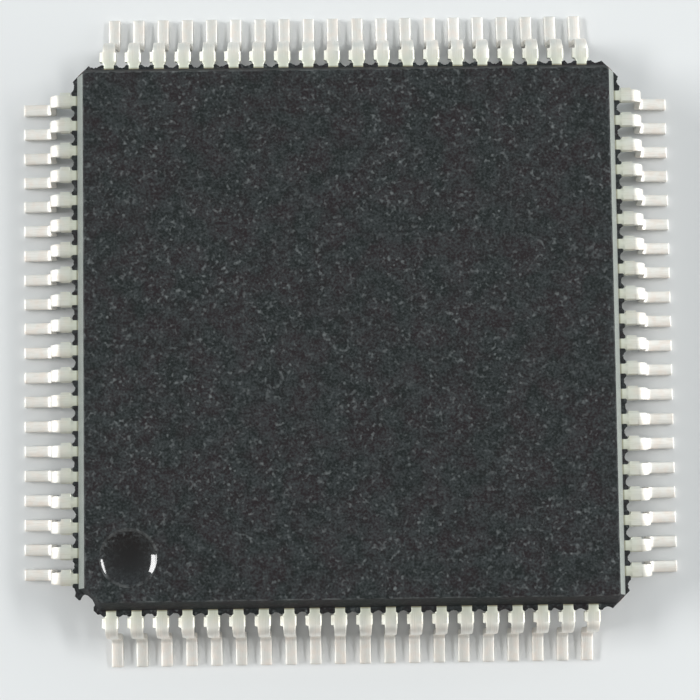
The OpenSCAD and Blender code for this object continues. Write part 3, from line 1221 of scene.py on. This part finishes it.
@dataclass(frozen=True)
class FlashLedge:
    """Thin resin flash between the leads of one side, bitten into scallops by the trimming punch."""

    sizes: PackageSizes
    finish: bpy.types.Material
    middle: float = 0.09
    middle_play: float = 0.02
    beside: float = 0.16
    ear: float = 0.05
    inward: float = 0.12
    index_ends: tuple[float, float] = (0.38, 0.27)
    shifts: tuple[float, ...] = (0.01, 0.0, -0.045, 0.0)
    rough_layers: tuple[tuple[float, float], ...] = ((0.012, 0.035), (0.006, 0.012))
    least: float = 0.002
    edge_r: float = 0.02
    edge_play: float = 0.01
    edge_grain: float = 0.05
    step: float = 0.012
    seed: int = 19

    def reach(
        self, along: np.ndarray, cuts: tuple[float, float], shift: float, rng: np.random.Generator
    ) -> np.ndarray:
        """How far the flash stands out along the side.

        In each gap it is the lesser of its full reach and a round scallop's edge,
        middle + r - sqrt(r^2 - x^2) for x from the gap's middle and r of half the punch's width.
        A rough edge is added, and the corner cuts end it at 45 degrees. At the index corner it
        runs on past the chamfer as far as the gate's punch left it.

        Args:
            along: Places along the side, in rising order.
            cuts: Corner cuts at the left and right ends of the side.
            shift: How much further the flash reaches because of where the punch stood.
            rng: Seeded source of the rough edge.

        Returns:
            Distance from the band's face at each place.
        """
        size = self.sizes
        kept = size.lead_width / 2 + self.ear
        ends = [cuts[0] + self.ear - size.side, size.side - cuts[1] - self.ear]
        leads = size.row_place(np.arange(size.row_leads))
        lows = np.concatenate([[ends[0]], leads + kept])
        highs = np.concatenate([leads - kept, [ends[1]]])
        reach = np.full_like(along, self.beside)
        for low, high in zip(lows, highs):
            radius = (high - low) / 2
            # A gap this narrow has no room for a scallop
            if radius <= self.beside - self.middle:
                continue
            offset = along - (low + high) / 2
            inside = np.abs(offset) < radius
            depth = self.middle + rng.uniform(-self.middle_play, self.middle_play)
            scallop = depth + radius - np.sqrt(np.maximum(radius**2 - offset**2, 0.0))
            reach = np.where(inside, np.minimum(reach, scallop), reach)
        reach = reach + shift
        for height, grain in self.rough_layers:
            reach = reach + height * ragged(along, grain, rng)
        corner = np.minimum(size.side - cuts[1] - along, size.side - cuts[0] + along)
        return np.clip(np.minimum(reach, corner), self.least, self.beside)

    def root(self, side: Side, along: np.ndarray) -> np.ndarray:
        """Where the ledge's hidden root lies, as a distance from the band's face.

        It lies a little inside the body, moves in with the chamfer of the index corner, and comes
        out to the far wall of the gate bite, at middle + sqrt(r^2 - x^2), where the middle is
        rounded to the nearest 0.0001 mm.

        Args:
            side: The side that the ledge is on.
            along: Places along the side.

        Returns:
            The root's distance at each place, below 0 inside the body.
        """
        size = self.sizes
        corner = {Side.FRONT: -1.0, Side.LEFT: 1.0}.get(side, 0.0) * along
        gate = round(size.gate_middle / math.sqrt(2), 4)
        root = -self.inward - np.maximum(corner - size.side + size.index_cut, 0.0)
        bite = size.gate_r**2 - (corner - gate) ** 2
        return np.where(bite > 0, gate + np.sqrt(np.maximum(bite, 0.0)) - size.side, root)

    def build(self, side: Side) -> bpy.types.Object:
        """Builds the ledge of one side: a thin section carried along the band.

        Args:
            side: The side to build.

        Returns:
            The ledge, which stands for part of the frame's body.
        """
        size = self.sizes
        rng = np.random.default_rng(self.seed + side.value)
        cut = size.corner_cut
        ends = {Side.FRONT: (self.index_ends[0], cut), Side.LEFT: (cut, self.index_ends[1])}
        cuts = ends.get(side, (cut, cut))
        along = np.arange(cuts[0] - size.side, size.side - cuts[1], self.step)
        reach = self.reach(along, cuts, self.shifts[side.value], rng)
        root = self.root(side, along)
        high, low = size.band_high - size.skin, size.band_low + size.skin
        worn = self.edge_r + self.edge_play * ragged(along, self.edge_grain, rng)
        zero = 0 * along
        section = [
            (root, zero + high), (0.5 * root, zero + high),
            (np.maximum(reach - worn, 0.001), zero + high), (reach - 0.3 * worn, high - 0.3 * worn),
            (reach, high - worn - 0.01), (reach, low + 0.5 * worn), (reach - 0.5 * worn, low + zero),
            (0.5 * root, zero + low), (root, zero + low),
        ]
        out = np.stack([size.side + part[0] for part in section], axis=1)
        height = np.stack([part[1] for part in section], axis=1)
        points = np.stack([np.repeat(along[:, None], len(section), axis=1), -out, height], axis=-1)
        blank = np.zeros(points.shape[:2])
        surface = tube(points, {"polish": blank, "edge": blank})
        surface.points = side.turn(surface.points)
        piece = surface.to_object(f"{side.label}_flash")
        piece.data.materials.append(self.finish)
        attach(piece, "root")
        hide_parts("moulded_body")
        return piece


# ---------------------------------------------------------------------------------------------
# Sealed pieces
# ---------------------------------------------------------------------------------------------


@dataclass(frozen=True)
class SealedPieces:
    """The pieces inside the resin, which keep the frame's own meshes and get their finishes."""

    nodes: dict[str, bpy.types.Object]
    textures: Textures

    def dress(self) -> int:
        """Gives each sealed node its finish.

        Returns:
            How many nodes were dressed.
        """
        finishes = {
            "die_paddle": COPPER_STRIP.material(self.textures),
            "die_attach": SILVER_ADHESIVE.material(self.textures),
            "silicon_die": SILICON.material(self.textures),
        }
        gold = GOLD_WIRE.material(self.textures)
        wires = {name: gold for name in self.nodes if "_wires_" in name}
        for name, finish in {**finishes, **wires}.items():
            mesh = self.nodes[name].data
            mesh.materials.clear()
            mesh.materials.append(finish)
        return len(finishes) + len(wires)


# ---------------------------------------------------------------------------------------------
# Studio
# ---------------------------------------------------------------------------------------------


@dataclass(frozen=True)
class SoftLamp:
    """A rectangular lamp aimed at the chip, with its angles in degrees and its lengths in metres."""

    name: str
    azimuth: float
    elevation: float
    distance: float
    size: tuple[float, float]
    level: float

    def light(self) -> bpy.types.Object:
        """Makes the lamp. Its power gives a white face turned to it the brightness of its level."""
        data = bpy.data.lights.new(self.name, "AREA")
        data.shape = "RECTANGLE"
        data.size, data.size_y = self.size
        data.energy = self.level * math.pi**2 * self.distance**2
        lamp = bpy.data.objects.new(self.name, data)
        azimuth, elevation = math.radians(self.azimuth), math.radians(self.elevation)
        lamp.location = (
            self.distance * math.cos(elevation) * math.cos(azimuth),
            self.distance * math.cos(elevation) * math.sin(azimuth),
            self.distance * math.sin(elevation),
        )
        lamp.rotation_euler = (math.pi / 2 - elevation, 0.0, azimuth + math.pi / 2)
        lamp.visible_camera = False
        bpy.context.scene.collection.objects.link(lamp)
        return lamp


@dataclass(frozen=True)
class Studio:
    """Camera above the chip, a pale floor, a high and a low lamp on each side, pale surroundings.

    The camera's place is in millimetres and its turn in radians; the floor is measured in metres.
    """

    camera_at: tuple[float, float, float] = (-0.4525, -2.602, 40.147)
    camera_turn: tuple[float, float, float] = (0.0566, -0.0113, -0.0131)
    lens: float = 77.5
    floor_size: float = 1.2
    floor_colour: Colour = (226, 228, 228)
    floor_shade: float = 0.985
    floor_patch: float = 0.02
    lamps: tuple[SoftLamp, ...] = (
        SoftLamp("left_lamp", 173.3, 32.5, 1.5, (0.79, 0.236), 0.58),
        SoftLamp("right_lamp", 14.9, 42.9, 1.5, (0.73, 0.146), 0.34),
        SoftLamp("left_low", 180, 9, 2.0, (2.4, 0.5), 0.24),
        SoftLamp("right_low", 0, 9, 2.0, (2.4, 0.5), 0.76),
    )
    sky_front: float = 0.34
    sky_back: float = 0.7
    sky_warm: Colour = (246, 242, 238)
    sky_cool: Colour = (236, 247, 254)

    def set_camera(self) -> None:
        """Places the camera and makes it the scene's own."""
        data = bpy.data.cameras.new("camera")
        data.lens = self.lens
        data.sensor_width = 36.0
        data.clip_start = 0.001
        data.clip_end = 10.0
        camera = bpy.data.objects.new("camera", data)
        camera.location = [MM * place for place in self.camera_at]
        camera.rotation_euler = self.camera_turn
        bpy.context.scene.collection.objects.link(camera)
        bpy.context.scene.camera = camera

    def lay_floor(self) -> None:
        """Lays the floor just under the feet."""
        half, below = self.floor_size / 2, -0.002 * MM
        mesh = bpy.data.meshes.new("floor")
        square = [(-half, -half, below), (half, -half, below), (half, half, below), (-half, half, below)]
        mesh.from_pydata(square, [], [[0, 1, 2, 3]])
        floor = bpy.data.objects.new("floor", mesh)
        bpy.context.scene.collection.objects.link(floor)
        material, wire, shader = start_material("pale_floor")
        place = wire.add("TexCoord").outputs["Object"]
        cloud = wire.span(wire.noise(place, 1 / self.floor_patch, 1.0), 0.35, 0.65)
        darker = tuple(self.floor_shade * channel for channel in self.floor_colour)
        tone = wire.mix(cloud, self.floor_colour, darker)
        wire.fill(shader, Base_Color=tone, Roughness=0.85, Specular_IOR_Level=0.2)
        mesh.materials.append(material)

    def light(self) -> None:
        """Sets the lamps and the pale surroundings, which are brighter and cooler at the back."""
        world = bpy.data.worlds.new("surroundings")
        world.use_nodes = True
        wire = Wiring(world.node_tree)
        direction = wire.add("SeparateXYZ", None, Vector=wire.add("TexCoord").outputs["Generated"])
        back = direction.outputs["Y"]
        tone = wire.mix(wire.span(back, -1.0, 1.0), self.sky_warm, self.sky_cool)
        strength = wire.span(back, -1.0, 1.0, self.sky_front, self.sky_back)
        wire.fill(world.node_tree.nodes["Background"], Color=tone, Strength=strength)
        bpy.context.scene.world = world
        for lamp in self.lamps:
            lamp.light()

    def build(self) -> None:
        """Sets up camera, floor, lights and a plain view transform."""
        self.set_camera()
        self.lay_floor()
        self.light()
        bpy.context.scene.view_settings.view_transform = "Standard"


def main() -> None:
    """Loads the frame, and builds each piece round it."""
    logging.basicConfig(level=logging.INFO, format="%(name)s: %(message)s")
    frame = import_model()
    Studio().build()
    sizes = PackageSizes.from_frame()
    textures = Textures()
    finishes = [BODY_FINISHES[zone].material(textures) for zone in Zone]
    body = BodyShell(sizes, finishes).build()
    log.info("%s: %d faces", body.name, len(body.data.polygons))
    rows = LeadRow(sizes, TinnedStrip().material(textures))
    ledges = FlashLedge(sizes, finishes[Zone.TOP])
    for side in Side:
        for piece in [*rows.build(side), ledges.build(side)]:
            log.info("%s: %d faces", piece.name, len(piece.data.polygons))
    log.info("sealed pieces dressed: %d", SealedPieces(frame["nodes"], textures).dress())


if __name__ == "__main__":
    main()
